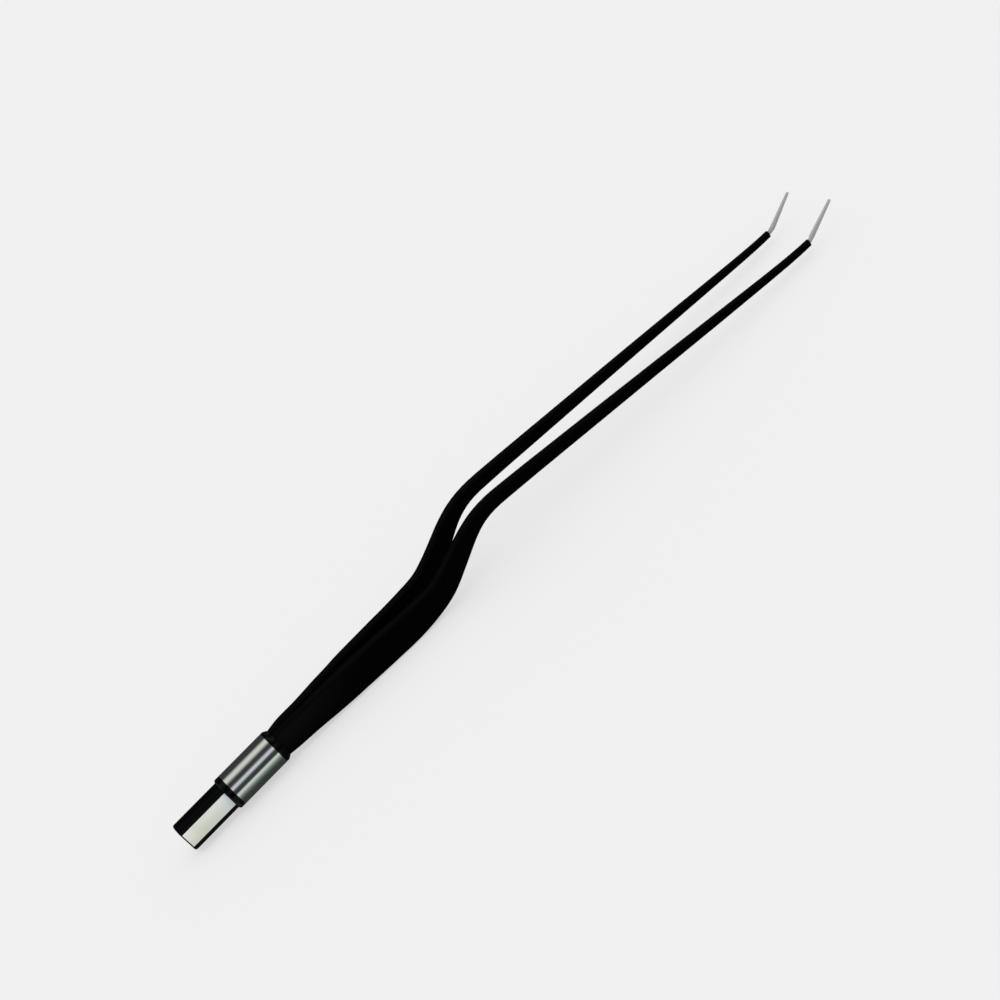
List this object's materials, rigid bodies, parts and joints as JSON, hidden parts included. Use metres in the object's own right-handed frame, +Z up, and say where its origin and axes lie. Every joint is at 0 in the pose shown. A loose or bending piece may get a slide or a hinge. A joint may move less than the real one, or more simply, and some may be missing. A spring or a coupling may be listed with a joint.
{
  "type": "bayonet bipolar forceps",
  "caption": "Bayonet bipolar forceps: flat plug with a contact strip on each side, steel ferrule, and sprung arms coated in black nylon with bare angled tips.",
  "frame": {"origin": "centre of the plug's rear face, on the ferrule's axis", "axes": "+X along the handle from plug to tips, +Y to the left arm, +Z up, towards the bayonet offset"},
  "size_m": [0.2305, 0.0198, 0.0163],
  "materials": {
    "moulded_black": "gloss",
    "contact_plate": "satin",
    "polished_steel": "polished",
    "resin": "gloss",
    "separator_plate": "matte",
    "blade_steel": "satin",
    "nylon_coat": "satin"
  },
  "bodies": {
    "handle": {"plug_insulator": "moulded_black", "contact_strip_left": "contact_plate", "contact_strip_right": "contact_plate", "ferrule": "polished_steel", "nose_bush": "moulded_black", "potting": "resin", "arm_separator": "separator_plate"},
    "arm_left": {"arm_blade_left": "blade_steel", "arm_coat_left": "nylon_coat"},
    "arm_right": {"arm_blade_right": "blade_steel", "arm_coat_right": "nylon_coat"}
  },
  "joints": [
    {"name": "arm_left_flex", "type": "hinge", "parent": "handle", "child": "arm_left", "pos_m": [0.032, 0.00145, 0], "axis": [0, 0, -1], "range_deg": [0, 2.58], "stiffness_Nm_per_rad": 2.5},
    {"name": "arm_right_flex", "type": "hinge", "parent": "handle", "child": "arm_right", "pos_m": [0.032, -0.00145, 0], "axis": [0, 0, 1], "range_deg": [0, 2.58], "stiffness_Nm_per_rad": 2.5}
  ]
}
